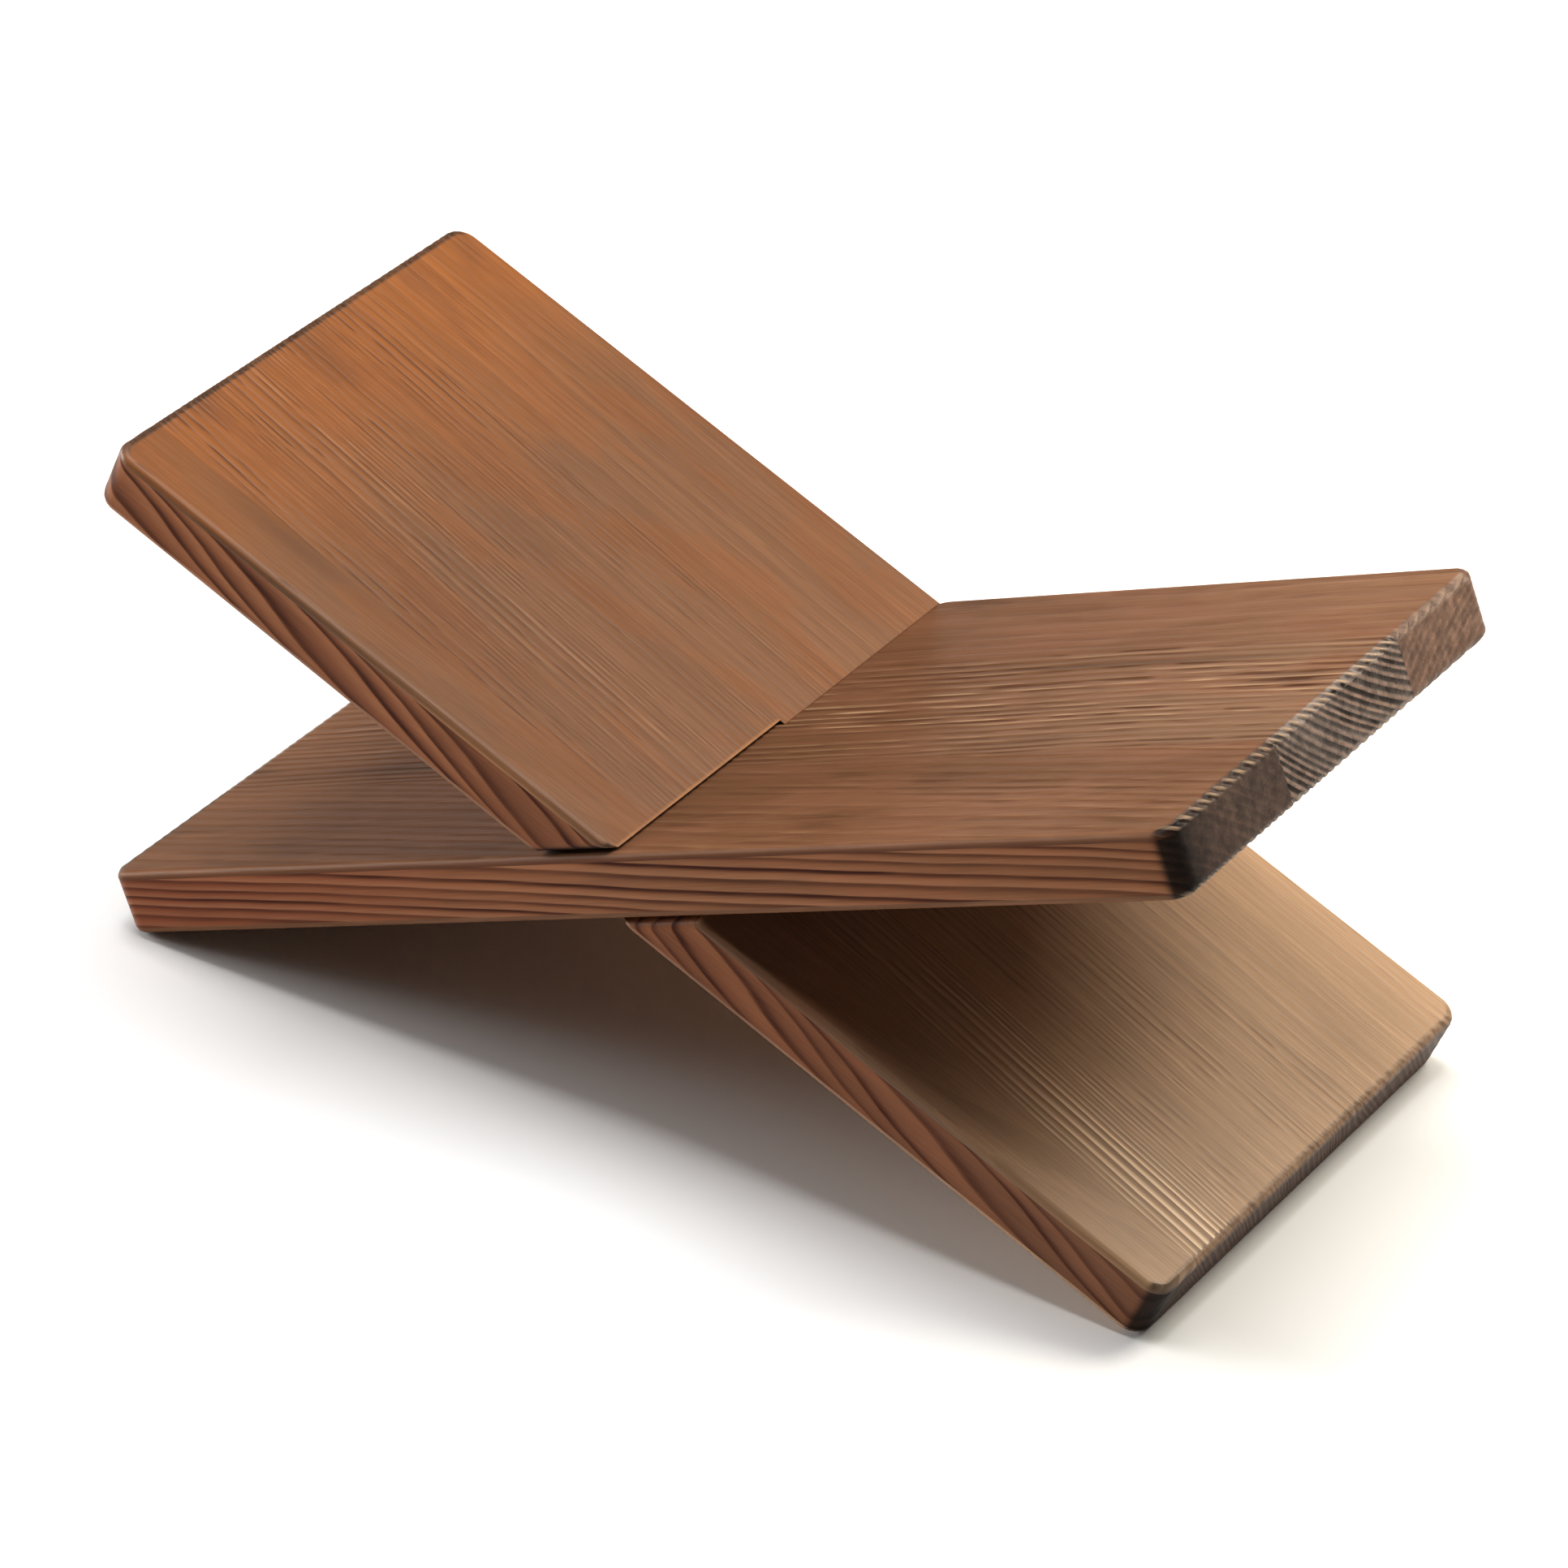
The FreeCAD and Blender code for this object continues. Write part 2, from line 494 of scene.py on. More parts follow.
def rim_levels():
    """How the rim goes down the thickness, as angles of the two easings and shares of the flat.

    Each level is (sine, cosine, share): the surface leans outwards by the sine and up or down by
    the cosine, and the share runs from 1 at the top of the flat to -1 at its bottom.
    """
    angle = np.linspace(0, math.pi / 2, easing_steps + 1)
    flat = np.linspace(1, -1, edge_steps + 1)[1:-1]
    sine = np.concatenate([np.sin(angle), np.ones_like(flat), np.sin(angle[::-1])])
    cosine = np.concatenate([np.cos(angle), np.zeros_like(flat), -np.cos(angle[::-1])])
    share = np.concatenate([np.ones_like(angle), flat, -np.ones_like(angle)])
    return sine[:, None], cosine[:, None], share[:, None]


def rim_surface(grid, easing):
    """Places and outward directions of the rim, level by level between the faces' outermost lines,
    and how much of an arris each level is.

    A level stands in from the outline by the easing times 1 less the sine. Its height is the share
    times the half thickness less the easing, plus the cosine times the easing. It is an arris by
    twice the sine times the cosine, so in full where it leans half way.
    """
    sine, cosine, share = (values[1:-1] for values in rim_levels())
    inset = easing * (1 - sine)
    s = grid["s"][grid["outline"]] - inset * grid["normal_s"]
    y = grid["y"][grid["outline"]] - inset * grid["normal_y"]
    n = share * (half_thickness - easing) + cosine * easing
    up = np.broadcast_to(cosine, s.shape)
    places = np.stack([s, y, n], axis=-1)
    outward = np.stack([sine * grid["normal_s"], sine * grid["normal_y"], up], axis=-1)
    arris = np.broadcast_to(2 * np.abs(sine * cosine), s.shape)
    return places.reshape(-1, 3), outward.reshape(-1, 3), arris


def surface_quads(grid):
    """The quads of both faces and the rim, which of them are on the flat of an edge, and the vertex
    numbers of the upper face's outermost line.

    Vertices are counted through the upper face, the lower one and the rim's levels. The rim's first
    and last row of quads hang on the faces' outermost lines.
    """
    kept, cells = grid["node_kept"], grid["cell_kept"]
    count = int(kept.sum())
    number = np.full(kept.shape, -1)
    number[kept] = np.arange(count)
    corners = [number[:-1, :-1], number[1:, :-1], number[1:, 1:], number[:-1, 1:]]
    top_quads = np.stack([corner[cells] for corner in corners], axis=-1)
    bottom_quads = top_quads[:, ::-1] + count

    top_line = number[grid["outline"]]
    around = len(top_line)
    levels = len(rim_levels()[0])
    between = 2 * count + np.arange((levels - 2) * around).reshape(levels - 2, around)
    rim = np.concatenate([top_line[None], between, top_line[None] + count])
    ahead = np.roll(rim, -1, axis=1)
    rim_quads = np.stack([rim[:-1], rim[1:], ahead[1:], ahead[:-1]], axis=-1).reshape(-1, 4)

    row = np.repeat(np.arange(levels - 1), around)
    rim_flat = (row >= easing_steps) & (row < levels - 1 - easing_steps)
    on_edge = np.concatenate([np.zeros(2 * len(top_quads), bool), rim_flat])
    return np.concatenate([top_quads, bottom_quads, rim_quads]), on_edge, top_line


def surface_zones(grid, timber, arris, top_line):
    """How much each vertex is part of the rim, an end, the slot, an arris and the corner's painted
    shade.

    The rim is an end by the square of how far it faces along the board. It takes the corner's
    painted shade by four times the squares of how far it faces both ways, and along the end by an
    exponential that fades from the corner. A face's outermost line has a share of its arris.
    """
    facing_s, facing_y, slot = grid["normal_s"], grid["normal_y"], grid["slot_share"]
    end = facing_s ** 2 * (1 - slot)
    # Painted shade: the upright corner that turns from the light and the end beside it are darkened
    corner_s, corner_y = timber["painted_shade_corner"]
    toward = (facing_s * corner_s > 0) & (facing_y * corner_y > 0)
    turned = 4 * facing_s ** 2 * facing_y ** 2 * toward
    from_corner = grid["y"][grid["outline"]] * corner_y - half_width
    along_end = (facing_s * corner_s > corner_shade_facing) * np.exp(from_corner / corner_shade_fade)
    on_rim = {
        "rim": np.ones_like(end), "end": end, "slot": slot, "corner": np.maximum(turned, along_end),
    }

    count = int(grid["node_kept"].sum())
    faces = np.zeros(2 * count)
    zones = {
        key: np.concatenate([faces, np.tile(values, len(arris))]) for key, values in on_rim.items()
    }
    zones["arris"] = np.concatenate([faces, arris.ravel()])
    for line in (top_line, top_line + count):
        zones["arris"][line] = face_line_share * (1 - slot)
        zones["end"][line] = end
        zones["slot"][line] = slot
    return zones


def board_shape(timber):
    """A board in its own axes: its places, their outward directions, its quads, which of these are
    on the flat of an edge, and its zones.

    The two faces share one grid. The rim is a profile carried round the slotted outline: a quarter
    circle, the flat of the edge, and a quarter circle.
    """
    grid = board_grid(timber["strips"])
    easing = edge_easing + (slot_easing - edge_easing) * grid["slot_share"]
    top, top_outward = face_surface(grid, easing, 1.0)
    bottom, bottom_outward = face_surface(grid, easing, -1.0)
    rim, rim_outward, arris = rim_surface(grid, easing)
    places = np.concatenate([top, bottom, rim])
    places[:, 0] = slanted(places[:, 0], places[:, 2])
    quads, on_edge, top_line = surface_quads(grid)
    return {
        "places": places, "outward": np.concatenate([top_outward, bottom_outward, rim_outward]),
        "quads": quads, "on_edge": on_edge,
        "zones": surface_zones(grid, timber, arris, top_line),
    }


def brushed(shape, timber):
    """A board's places with its soft wood sunk below its hard rings, against the outward direction.

    On a face the depth grows with the figure up to the full brushing. An end's arris goes over to
    its own brushing, a long one to none, and the slot is left unbrushed.
    """
    s, y, n = shape["places"].T
    strips = timber["strips"]
    strip = strip_at(y, strips)
    rim, end, arris, slot = (shape["zones"][key] for key in ("rim", "end", "arris", "slot"))
    face_boldness = np.minimum(face_brushing_gain * face_figure(s, strip, strips), 1)
    end_boldness = np.minimum(end_brushing_gain * of_strip("end_figure", strip, strips), 1)
    end_flat = of_end("end_brushing", s, timber) * end_boldness
    end_arris = of_end("end_arris_brushing", s, timber) * np.where(n > 0, 1, lower_arris_share)
    depth = face_brushing * face_boldness * (1 - rim)
    depth += (edge_brushing * (1 - end) + end_flat * end) * rim
    depth += (end_arris * end - depth) * arris
    depth *= 1 - slot
    sunk = groove(ring_number(s, y, n, strip, timber))
    return shape["places"] - shape["outward"] * (depth * sunk)[:, None]


def in_the_stand(places, half_turn):
    """Board axes to the stand's: tipped by the rise angle, lifted, and turned half round or not."""
    tip = Matrix.Rotation(rise_angle, 3, "Y")
    if half_turn:
        tip = Matrix.Rotation(math.pi, 3, "Z") @ tip
    return places @ np.array(tip).T + np.array([0.0, 0.0, crossing_height])


def board_grain(shape, timber):
    """What the finish needs to know, at each corner of each quad, by the attribute's name.

    A quad belongs to one strip as a whole, so that strips meet sharply. An end has its own toasted
    tone, which its upper and lower arris lose where they are bare. On the rim a ring shows in full
    on the flat of a long edge, not at all on its arris, and by the strip's end figure on an end.
    Pale lines come with the figure and keep off the arrises. The slot's arris takes the arris colour
    all along, which on the right board is painted shade.
    """
    quads, strips = shape["quads"], timber["strips"]
    s, y, n = np.moveaxis(shape["places"][quads], -1, 0)
    strip = np.repeat(strip_at(y.mean(axis=1), strips)[:, None], 4, axis=1)
    zone = {key: values[quads] for key, values in shape["zones"].items()}
    rim = zone["rim"].max(axis=1, keepdims=True)
    end, slot = zone["end"], zone["slot"]
    arris = zone["arris"] * rim
    eased = rim * ~shape["on_edge"][:, None]

    below_face = smooth_step((half_thickness - np.abs(n)) / edge_easing, 0, 1)
    toasted = end * (1 - of_end("bare_end_arrises", s, timber) * (1 - below_face))
    long_arris = below_face * eased * (n > 0) * (1 - end) * (1 - slot)
    on_rim = (1 - end) * (1 - arris) + end * of_strip("end_figure", strip, strips)
    figure = face_figure(s, strip, strips) * (1 - rim) + on_rim * rim
    on_leg = smooth_step(s, *face_lines_change)
    # On the left board the leg's pale tone is partly painted sheen, and its slow start from the
    # crossing is painted shade under the other board's arm
    leg_tone_and_light = smooth_step(s + timber["leg_tone_and_light_slant"] * y, *leg_tone_and_light_change)
    # Towards the valley the tip's colour gives way to the valley's darker one, partly painted shade
    tip_tone_and_shade = 1 - smooth_step(s, -half_length, timber["tip_tone_and_shade_ends"])
    face_shade = of_strip("face_shade", strip, strips) * (1 - rim) + rim
    rubbed = arris * end * of_end("rubbed_ends", s, timber)
    with_figure = np.minimum(pale_line_gain * figure, 1) ** 2
    return {
        "ring": ring_number(s, y, n, strip, timber),
        "figure": figure,
        "steady": timber["steady_rings"] * pale_bundle(s, y, timber) * on_leg * (1 - rim),
        "pale": pale_lines(s, y, rim, timber) * with_figure * (1 - eased),
        "streak": dark_streaks(s, y, timber),
        "tip_tone_and_shade": of_strip("tip_tone_and_shade", strip, strips) * tip_tone_and_shade,
        "leg": leg_tone_and_light * (1 - toasted),
        "end_grain": end,
        "end_grey": end * of_strip("end_grey", strip, strips),
        "shade": face_shade * (1 - toasted) + toasted * of_strip("end_shade", strip, strips),
        "end_arris": rubbed * of_strip("beads", strip, strips),
        "long_arris": long_arris,
        # The long arrises and the slot's take the arris colour: pale wear, partly painted highlight,
        # on the left board and painted shade on the right
        "wear_and_shade": long_arris * wear_and_shade_stretches(s, timber) + slot * (1 - rim + arris),
        "corner": zone["corner"],
    }


def slotted_board(name, timber, half_turn, finishes):
    """One board: its surface, its grain as attributes, and the finishes of its faces and its rim."""
    shape = board_shape(timber)
    quads, on_edge = shape["quads"], shape["on_edge"]
    mesh = bpy.data.meshes.new(name)
    mesh.from_pydata(in_the_stand(brushed(shape, timber), half_turn), [], quads)
    mesh.polygons.foreach_set("use_smooth", np.ones(len(quads), bool))
    mesh.set_sharp_from_angle(angle=sharp_edge)
    for key, values in board_grain(shape, timber).items():
        grain = mesh.attributes.new(key, "FLOAT", "CORNER")
        grain.data.foreach_set("value", np.ascontiguousarray(values, np.float32).ravel())

    board = bpy.data.objects.new(name, mesh)
    bpy.context.scene.collection.objects.link(board)
    for finish in finishes:
        mesh.materials.append(finish)
    mesh.polygons.foreach_set("material_index", on_edge.astype(np.int32))
    return board


# The finish

# The noises in the wood: the size of their cells along, across and through the board, their detail
# and roughness, and how far each is shifted from the others
noises = {
    "wander": {"cell": (0.090, 0.0040, 0.0040), "detail": 3.0, "roughness": 0.55},
    "hair": {"cell": (0.030, 0.00050, 0.00050), "detail": 3.0, "roughness": 0.65},
    "patch": {"cell": (0.042, 0.017, 0.016), "detail": 3.0, "roughness": 0.55},
    "bundle": {"cell": (0.070, 0.009, 0.012), "detail": 2.0, "roughness": 0.5,
               "shift": (0.1, 0.3, 0.1)},
    "smudge": {"cell": (0.050, 0.011, 0.020), "detail": 2.0, "roughness": 0.5,
               "shift": (0.3, 0.1, 0.2)},
    "mottle": {"cell": (0.020, 0.0030, 0.0030), "detail": 4.0, "roughness": 0.6,
               "shift": (0.2, 0.4, 0.6)},
}
dash_width = 0.0022

# Between which values of its noise each mark comes up
dashes_between = (0.38, 0.60)
bundles_between = (0.35, 0.62)
wear_between = (0.35, 0.60)
tip_patches_between = (0.40, 0.60)
patches_between = (0.42, 0.68)
hair_between = (0.30, 0.70)
smudges_between = (0.60, 0.80)
mottle_between = (0.30, 0.70)
streaky_between = (0.40, 0.60)

# Shares of a ring: where its soft part starts and is full in end grain, and where it ends anywhere
end_soft_start = 0.16
end_soft_full = 0.58
soft_end = 0.90

# How strong these marks are: the boldest bundle and the faintest ring, how far a ring's tone, the
# tip's patches and the end grain's mottle spread, how light a streak is, dark grain and painted
# shade alike, and what its fibres leave of it, and how light the corner's painted shade is and from
# where in full
boldest_bundle = 1.15
faintest_ring = 0.6
ring_tone_spread = 0.06
tip_patch_spread = 0.15
mottle_spread = 0.30
streak_shade = 0.55
streak_break = 0.6
corner_shade_level = 0.15
corner_shade_full = 0.7

# Rubbed arrises: how much the hard wood is rubbed, and over which softness that gives way to how
# much the soft wood is
rubbed_hard = 0.9
rub_between = (0.1, 0.5)

# How rough early and scorched wood are, how much smoother a pale line is, and the fine relief
early_roughness = 0.42
scorched_roughness = 0.56
pale_line_gloss = 0.08
relief_strength = 0.35
relief_depth = 0.00025
scorched_sinks = 0.6


def add_node(tree, kind, inputs, **settings):
    """A shader node with its settings, its linked inputs and its plain input values."""
    node = tree.nodes.new(kind)
    for key, value in settings.items():
        setattr(node, key, value)
    for key, value in inputs.items():
        if isinstance(value, bpy.types.NodeSocket):
            tree.links.new(value, node.inputs[key])
        else:
            node.inputs[key].default_value = value
    return node


def calculated(tree, operation, *values):
    """The result of a Math node."""
    return add_node(tree, "ShaderNodeMath", dict(enumerate(values)), operation=operation).outputs[0]


def product(tree, first, *others):
    """Several numbers multiplied."""
    for other in others:
        first = calculated(tree, "MULTIPLY", first, other)
    return first


def attribute(tree, name):
    """A number that the board's mesh carries."""
    return add_node(tree, "ShaderNodeAttribute", {}, attribute_name=name).outputs["Fac"]


def in_range(tree, value, between, to_low, to_high):
    """A value carried smoothly from one range to another."""
    low, high = between
    inputs = {"Value": value, "From Min": low, "From Max": high, "To Min": to_low, "To Max": to_high}
    node = add_node(tree, "ShaderNodeMapRange", inputs, interpolation_type="SMOOTHSTEP")
    return node.outputs["Result"]


def by_share(tree, share, at_none, at_full):
    """A value that goes smoothly from one to another as a share goes from 0 to 1."""
    return in_range(tree, share, (0.0, 1.0), at_none, at_full)


def fibre(tree, turn, cell, detail, roughness, shift=(0.0, 0.0, 0.0)):
    """Noise in the board's own axes, with cells of the given size along, across and through it."""
    place = add_node(tree, "ShaderNodeTexCoord", {}).outputs["Object"]
    board_axes = add_node(
        tree, "ShaderNodeMapping",
        {"Vector": place, "Location": shift, "Rotation": turn, "Scale": cell},
        vector_type="TEXTURE",
    ).outputs["Vector"]
    inputs = {"Vector": board_axes, "Scale": 1.0, "Detail": detail, "Roughness": roughness}
    return add_node(tree, "ShaderNodeTexNoise", inputs).outputs["Fac"]


def mixed(tree, factor, first, second, blend_type="MIX"):
    """Two colours mixed by a factor."""
    node = tree.nodes.new("ShaderNodeMix")
    node.data_type = "RGBA"
    node.blend_type = blend_type
    for key, value in {"Factor": factor, "A": first, "B": second}.items():
        socket = [each for each in node.inputs if each.name == key and each.enabled][0]
        if isinstance(value, bpy.types.NodeSocket):
            tree.links.new(value, socket)
        else:
            socket.default_value = value
    return [each for each in node.outputs if each.enabled][0]


def wood_noises(tree, tip, look):
    """The noises in the wood of a board that is tipped by an angle, by name."""
    turn = (0.0, tip, 0.0)
    by_name = {name: fibre(tree, turn, **settings) for name, settings in noises.items()}
    dash_cell = (look["dash_length"], dash_width, dash_width)
    by_name["dash"] = fibre(tree, turn, dash_cell, detail=1.0, roughness=0.55)
    return by_name


def ring_marks(tree, look, noise):
    """What the rings do to the wood: how soft it is, how scorched, how pale a line it has, and a
    random number for each ring.

    Within a ring the wood grows soft and scorched and ends sharply, and its pale line fades from
    the ring's start. Both are broken into dashes and bundles, apart from steady rings.
    """
    end = attribute(tree, "end_grain")
    waver = product(tree, calculated(tree, "SUBTRACT", noise["wander"], 0.5), look["waver"])
    ring = calculated(tree, "ADD", attribute(tree, "ring"), waver)
    share = calculated(tree, "FRACT", ring)
    start = by_share(tree, end, look["soft_start"], end_soft_start)
    full = by_share(tree, end, look["soft_full"], end_soft_full)
    rise = in_range(tree, share, (start, full), 0.0, 1.0)
    soft = product(tree, rise, in_range(tree, share, (soft_end, 1.0), 1.0, 0.0))
    pale_line = in_range(tree, share, look["pale_line"], 1.0, 0.0)
    each_ring = add_node(tree, "ShaderNodeTexWhiteNoise", {"W": calculated(tree, "FLOOR", ring)},
                         noise_dimensions="1D").outputs["Value"]

    faint = 1 - look["dashes"]
    broken = product(
        tree,
        in_range(tree, noise["dash"], dashes_between, faint, 1.0),
        in_range(tree, noise["bundle"], bundles_between, faint, boldest_bundle),
        by_share(tree, each_ring, faintest_ring, 1.0),
    )
    broken = by_share(tree, attribute(tree, "steady"), broken, 1.0)
    scorched = product(tree, soft, broken, attribute(tree, "figure"))
    pale = product(tree, pale_line, broken, attribute(tree, "pale"), look["pale"])
    return {"soft": soft, "scorched": scorched, "pale": pale, "each": each_ring}


def wood_colour(tree, look, noise, ring):
    """The wood's colour before its shade: the valley's, which on the faces is partly painted shade,
    the tip's, patches, the leg's, which on the left board is partly painted sheen, grey end grain
    and pale lines in the early wood, which on that leg are partly a painted highlight, and the late
    wood where it is scorched."""
    tip_patches = in_range(
        tree, noise["patch"], tip_patches_between, -tip_patch_spread, tip_patch_spread
    )
    tip_tone_and_shade = calculated(tree, "ADD", attribute(tree, "tip_tone_and_shade"), tip_patches)
    patches = in_range(tree, noise["patch"], patches_between, 0.0, look["patches"])
    grey = attribute(tree, "end_grey")
    early = mixed(tree, tip_tone_and_shade, look["valley"], look["tip"])
    early = mixed(tree, patches, early, look["patch"])
    early = mixed(tree, attribute(tree, "leg"), early, look["leg"])
    early = mixed(tree, grey, early, look["end"])
    early = mixed(tree, ring["pale"], early, look["thread"])
    late = mixed(tree, grey, look["late"], look["end_late"])
    return mixed(tree, ring["scorched"], early, late)


def wood_shade(tree, look, noise, ring):
    """The number that the wood's colour is multiplied by: its fibres, its rings, its smudges, its
    strip, its mottled end grain, its dark streaks and streaks of painted shade, and the painted
    shade of its corner and of its long arrises."""
    mottled = product(tree, attribute(tree, "end_grain"), mottle_spread)
    streak = product(tree, attribute(tree, "streak"),
                     in_range(tree, noise["hair"], streaky_between, streak_break, 1.0))
    return product(
        tree,
        in_range(tree, noise["hair"], hair_between, 1 - look["hair"], 1 + look["hair"]),
        by_share(tree, ring["each"], 1 - ring_tone_spread, 1 + ring_tone_spread),
        in_range(tree, noise["smudge"], smudges_between, 1.0, look["smudge"]),
        attribute(tree, "shade"),
        in_range(tree, noise["mottle"], mottle_between,
                 calculated(tree, "SUBTRACT", 1.0, mottled), calculated(tree, "ADD", 1.0, mottled)),
        by_share(tree, streak, 1.0, streak_shade),
        # Painted shade on the corner that turns from the light
        in_range(tree, attribute(tree, "corner"), (0.0, corner_shade_full), 1.0, corner_shade_level),
        # Painted shade on the long arrises
        by_share(tree, attribute(tree, "long_arris"), 1.0, look["arris_shade"]),
    )


def brushed_softwood(name, tip, look):
    """Brushed and toasted softwood: rings, fibres, warm and grey zones that are partly painted shade
    by the valley and painted sheen on a leg, dark end grain, painted shade on a corner and on the
    long arrises, and arrises that are rubbed pale between the rings or take an arris colour, pale
    wear with some painted highlight on one board and painted shade on the other."""
    material = bpy.data.materials.new(name)
    material.use_nodes = True
    tree = material.node_tree
    tree.nodes.clear()
    noise = wood_noises(tree, tip, look)
    ring = ring_marks(tree, look, noise)

    shade = wood_shade(tree, look, noise, ring)
    tint = add_node(tree, "ShaderNodeCombineColor", {"Red": shade, "Green": shade, "Blue": shade})
    wood = mixed(tree, 1.0, wood_colour(tree, look, noise, ring), tint.outputs["Color"], "MULTIPLY")
    rubbed = product(tree, attribute(tree, "end_arris"),
                     in_range(tree, ring["soft"], rub_between, rubbed_hard, look["rubbed_soft"]))
    # The arris colour on long arrises: pale wear with some painted highlight on one board, painted
    # shade on the other
    wear_and_shade = product(tree, attribute(tree, "wear_and_shade"),
                   in_range(tree, noise["bundle"], wear_between, look["least_wear_and_shade"], look["wear_and_shade"]))
    wood = mixed(tree, rubbed, wood, look["rubbed"])
    wood = mixed(tree, wear_and_shade, wood, look["arris"])

    roughness = calculated(
        tree, "ADD", by_share(tree, ring["scorched"], early_roughness, scorched_roughness),
        by_share(tree, ring["pale"], 0.0, -pale_line_gloss),
    )
    height = calculated(
        tree, "SUBTRACT", noise["hair"], product(tree, ring["scorched"], scorched_sinks)
    )
    relief = add_node(
        tree, "ShaderNodeBump",
        {"Strength": relief_strength, "Distance": relief_depth, "Height": height},
    )
    shader = add_node(
        tree, "ShaderNodeBsdfPrincipled",
        {"Base Color": wood, "Roughness": roughness, "Specular IOR Level": look["gloss"],
         "Normal": relief.outputs["Normal"]},
    )
    add_node(tree, "ShaderNodeOutputMaterial", {"Surface": shader.outputs["BSDF"]})
    return material


# How each finish looks.
# tip, valley, patch, leg: the early wood's colours at the arm's tip, by the valley, in patches and
#     on the leg. On the faces the valley's darker colour is partly painted shade from the other
#     board's arm, and the left board's pale leg colour is partly painted sheen.
# thread, late: the colours of pale lines and of scorched wood
# end, end_late: the colours of early and of scorched wood in grey end grain
# rubbed, arris: the colours of rubbed end arrises and of long ones where they take it, pale wear
#     and partly painted highlight on the left board and dark painted shade on the right
# waver: how much the rings waver, in rings
# soft_start, soft_full, pale_line: where in a ring its soft wood starts to darken and is darkest,
#     and where its pale line starts to fade and ends
# pale, dashes, dash_length: how pale that line is, how broken the rings are, and into what length
# patches, hair, smudge: how strong the patches and the fibres are, and how light the smudges
# wear_and_shade, least_wear_and_shade, arris_shade: how much of the arris colour the long arrises
#     take at most and at least, and the painted shade that darkens them
# gloss, rubbed_soft: how glossy the wood is, and how much its soft part is rubbed on end arrises
left_wood = {
    "end": (0.240, 0.185, 0.145, 1), "end_late": (0.040, 0.025, 0.018, 1),
    "waver": 0.16, "rubbed_soft": 0.45,
}
right_wood = {
    "end": (0.285, 0.232, 0.200, 1), "end_late": (0.050, 0.037, 0.031, 1),
    # The right board's long arrises take this dark colour as painted shade
    "rubbed": (0.500, 0.340, 0.220, 1), "arris": (0.130, 0.046, 0.022, 1),
    "wear_and_shade": 0.9, "least_wear_and_shade": 0.7, "arris_shade": 0.85, "rubbed_soft": 0.0, "smudge": 0.72,
    "gloss": 0.12,
}
edge_wood = {
    "pale": 0.8, "dashes": 0.15, "dash_length": 0.030, "patches": 0.5, "hair": 0.10, "gloss": 0.12,
}
left_face = {
    **left_wood,
    "tip": (0.395, 0.146, 0.042, 1), "valley": (0.244, 0.120, 0.061, 1),
    # The leg's pale colour is partly painted sheen
    "patch": (0.250, 0.102, 0.044, 1), "leg": (0.500, 0.314, 0.182, 1),
    "thread": (1.000, 0.740, 0.500, 1), "late": (0.110, 0.036, 0.010, 1),
    "rubbed": (0.640, 0.430, 0.280, 1), "arris": (0.460, 0.215, 0.090, 1),
    "soft_start": 0.46, "soft_full": 0.86, "pale_line": (0.10, 0.56),
    "pale": 0.5, "dashes": 0.88, "dash_length": 0.014,
    "patches": 0.55, "hair": 0.12, "smudge": 0.93,
    "wear_and_shade": 0.9, "least_wear_and_shade": 0.5, "arris_shade": 0.55, "gloss": 0.35,
}
left_edge = {
    **left_wood, **edge_wood,
    "tip": (0.280, 0.091, 0.029, 1), "valley": (0.200, 0.070, 0.029, 1),
    "patch": (0.206, 0.072, 0.032, 1), "leg": (0.218, 0.098, 0.055, 1),
    "thread": (0.420, 0.175, 0.078, 1), "late": (0.058, 0.012, 0.003, 1),
    "rubbed": (0.430, 0.200, 0.095, 1), "arris": (0.430, 0.200, 0.095, 1),
    "soft_start": 0.52, "soft_full": 0.90, "pale_line": (0.10, 0.62), "smudge": 0.86,
    "wear_and_shade": 0.7, "least_wear_and_shade": 0.3, "arris_shade": 0.72,
}
right_face = {
    **right_wood,
    "tip": (0.265, 0.150, 0.088, 1), "valley": (0.200, 0.093, 0.046, 1),
    "patch": (0.242, 0.108, 0.056, 1), "leg": (0.228, 0.100, 0.042, 1),
    "thread": (0.460, 0.290, 0.170, 1), "late": (0.090, 0.034, 0.015, 1),
    "waver": 0.35, "soft_start": 0.36, "soft_full": 0.68, "pale_line": (0.04, 0.40),
    "pale": 1.0, "dashes": 0.88, "dash_length": 0.016, "patches": 0.7, "hair": 0.14,
}
right_edge = {
    **right_wood, **edge_wood,
    "tip": (0.220, 0.100, 0.041, 1), "valley": (0.322, 0.126, 0.056, 1),
    "patch": (0.246, 0.104, 0.048, 1), "leg": (0.288, 0.087, 0.036, 1),
    "thread": (0.420, 0.208, 0.108, 1), "late": (0.056, 0.011, 0.003, 1),
    "waver": 0.16, "soft_start": 0.40, "soft_full": 0.82, "pale_line": (0.10, 0.50),
}

left_board = slotted_board("left_arm_board_brushed", left_timber, False, [
    brushed_softwood("left_waxed_face", rise_angle, left_face),
    brushed_softwood("left_bare_edge", rise_angle, left_edge),
])
right_board = slotted_board("right_arm_board_brushed", right_timber, True, [
    brushed_softwood("right_waxed_face", -rise_angle, right_face),
    brushed_softwood("right_bare_edge", -rise_angle, right_edge),
])
for board, body, node in (
    (left_board, "sliding_board", "left_arm_board"),
    (right_board, "standing_board", "right_arm_board"),
):
    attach(board, body)
    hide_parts(node)


# The studio

floor_reach = 12.0
floor_colour = (0.97, 0.97, 0.965, 1)
light_all_round = 0.07
warm_light = (1.0, 0.94, 0.82)

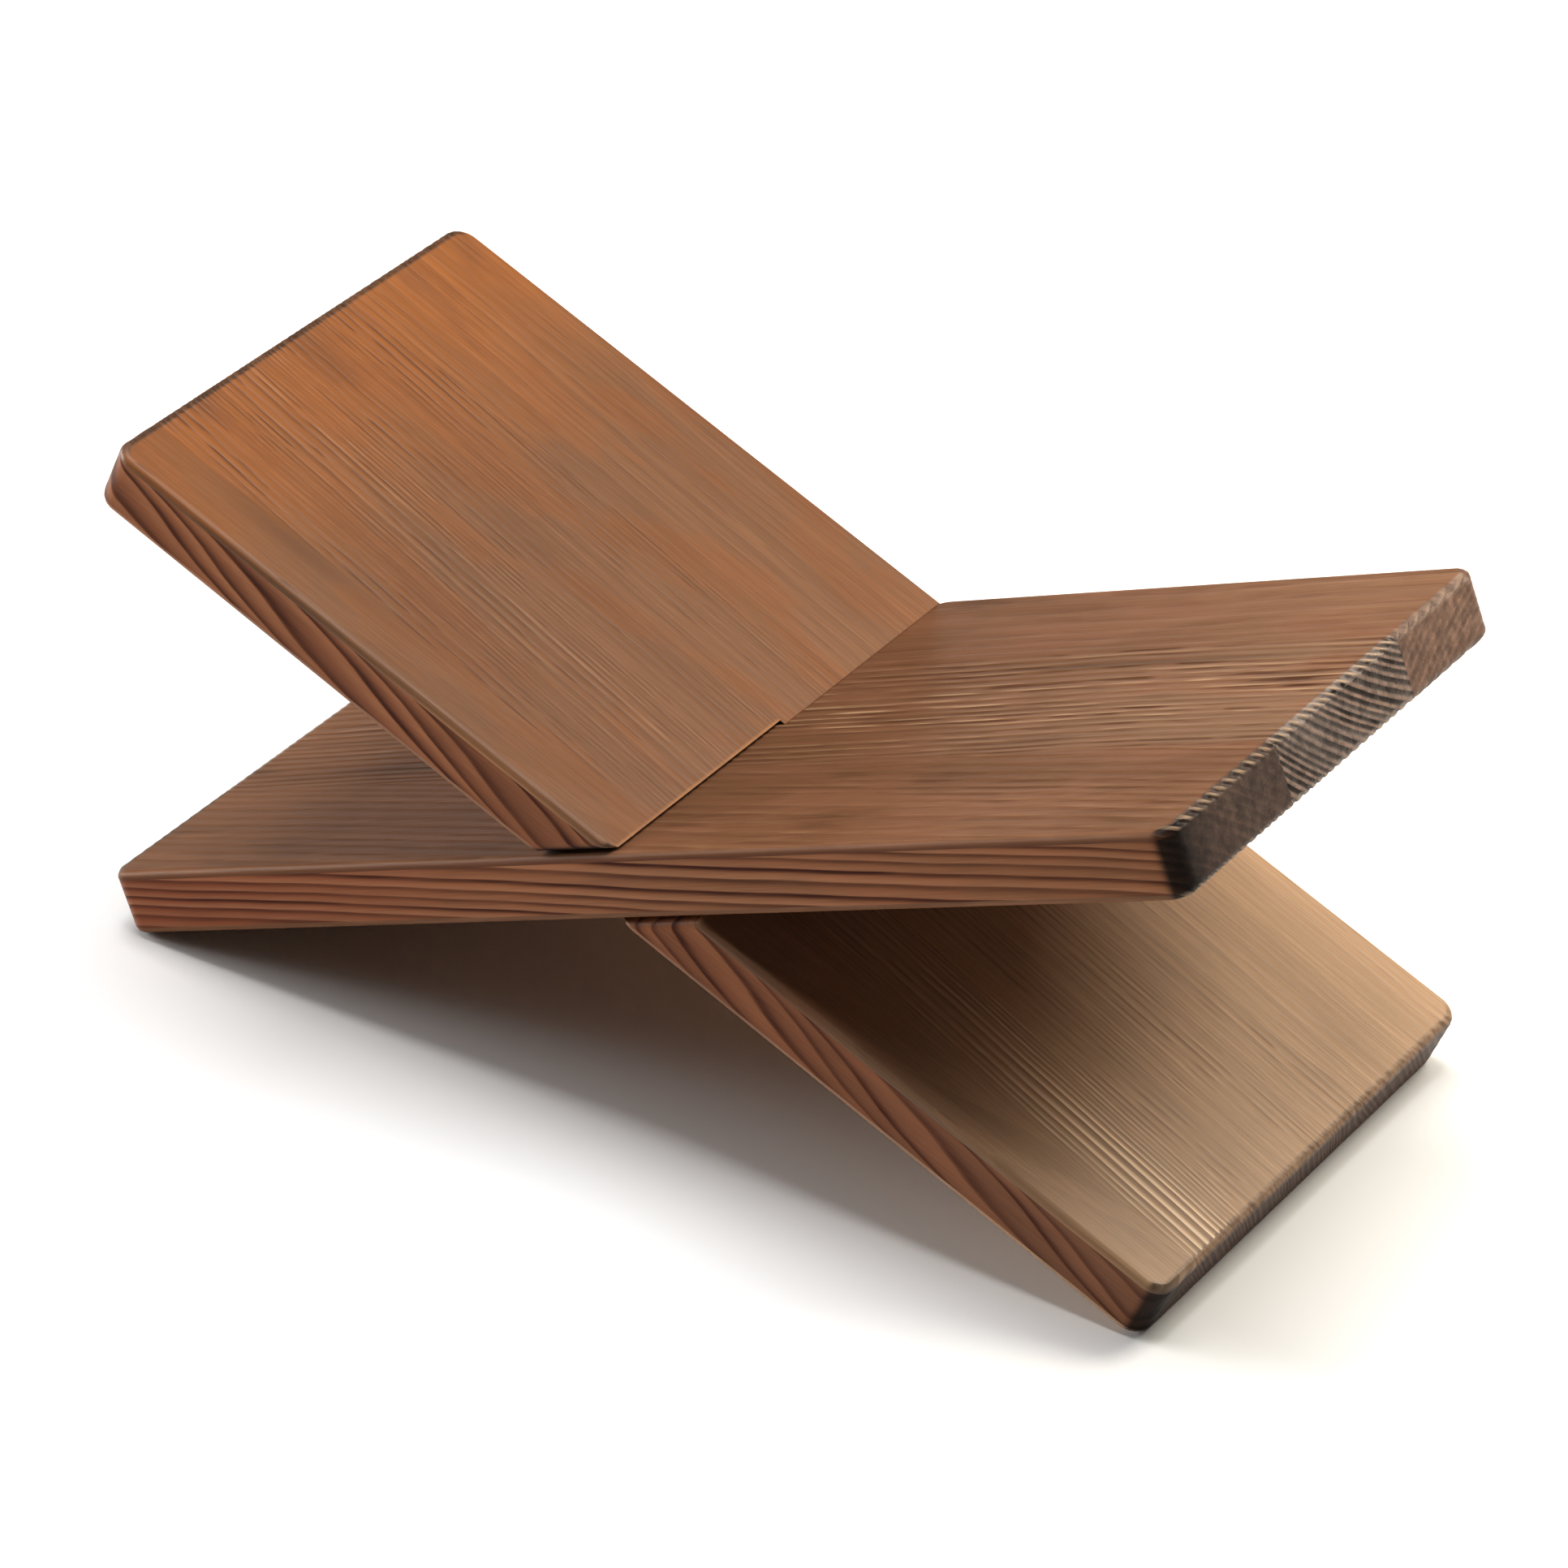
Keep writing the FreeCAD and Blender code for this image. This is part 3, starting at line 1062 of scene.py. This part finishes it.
# The photograph's view, from the boards' straight edges: its direction, roll, distance and lens,
# and how far right of the crossing's middle and below it the camera aims
view_azimuth = math.radians(32.72)
view_elevation = math.radians(32.45)
view_roll = math.radians(1.40)
view_distance = 1.7718
view_lens = 159.06
aim_right = 0.0009
aim_below = 0.0082


def pale_floor():
    """A wide plain floor under the stand."""
    mesh = bpy.data.meshes.new("pale_floor")
    signs = ((-1, -1), (1, -1), (1, 1), (-1, 1))
    corners = [(floor_reach * x, floor_reach * y, 0) for x, y in signs]
    mesh.from_pydata(corners, [], [(0, 1, 2, 3)])
    floor = bpy.data.objects.new("pale_floor", mesh)
    bpy.context.scene.collection.objects.link(floor)
    material = bpy.data.materials.new("pale_paper")
    material.use_nodes = True
    shader = material.node_tree.nodes["Principled BSDF"]
    shader.inputs["Base Color"].default_value = floor_colour
    shader.inputs["Roughness"].default_value = 0.9
    shader.inputs["Specular IOR Level"].default_value = 0.1
    mesh.materials.append(material)


def soft_light(name, place, aim, width, height, watts, colour=(1, 1, 1)):
    """A rectangular soft box that faces a point."""
    light = bpy.data.lights.new(name, "AREA")
    light.shape = "RECTANGLE"
    light.size = width
    light.size_y = height
    light.energy = watts
    light.color = colour
    lamp = bpy.data.objects.new(name, light)
    direction = Vector(aim) - Vector(place)
    lamp.location = place
    lamp.rotation_euler = direction.to_track_quat("-Z", "Y").to_euler()
    bpy.context.scene.collection.objects.link(lamp)


def studio_light():
    """A wide soft box overhead, a low one at the left, a small one behind the right side, and weak
    light all round."""
    world = bpy.data.worlds.new("studio")
    world.use_nodes = True
    background = world.node_tree.nodes["Background"]
    background.inputs["Color"].default_value = (1, 1, 1, 1)
    background.inputs["Strength"].default_value = light_all_round
    bpy.context.scene.world = world
    soft_light("top_soft_box", place=(-0.6, 0.3, 3.0), aim=(-0.6, 0.3, 0.0),
               width=2.2, height=1.6, watts=90.0)
    soft_light("left_soft_box", place=(-2.0, -0.4, 0.50), aim=(0.0, 0.0, 0.08),
               width=1.2, height=0.8, watts=42.0)
    soft_light("rear_soft_box", place=(0.31, 0.31, 0.47), aim=(0.14, 0.0, 0.03),
               width=0.24, height=0.26, watts=2.6, colour=warm_light)


def camera():
    """The camera at the photograph's view. It stands back from its aim along the view's direction
    by the distance, and is rolled about that direction."""
    aim = Vector((aim_right, 0.0, crossing_height - aim_below))
    back = Vector((
        math.sin(view_azimuth) * math.cos(view_elevation),
        -math.cos(view_azimuth) * math.cos(view_elevation),
        math.sin(view_elevation),
    ))
    data = bpy.data.cameras.new("photo_view")
    data.sensor_width = 36
    data.lens = view_lens
    data.clip_start = 0.05
    data.clip_end = 50
    view = bpy.data.objects.new("photo_view", data)
    view.location = aim + back * view_distance
    turned = back.to_track_quat("Z", "Y") @ Quaternion((0, 0, 1), view_roll)
    view.rotation_euler = turned.to_euler()
    bpy.context.scene.collection.objects.link(view)
    bpy.context.scene.camera = view


pale_floor()
studio_light()
camera()
bpy.context.scene.view_settings.view_transform = "Standard"
bpy.context.scene.view_settings.gamma = 0.9
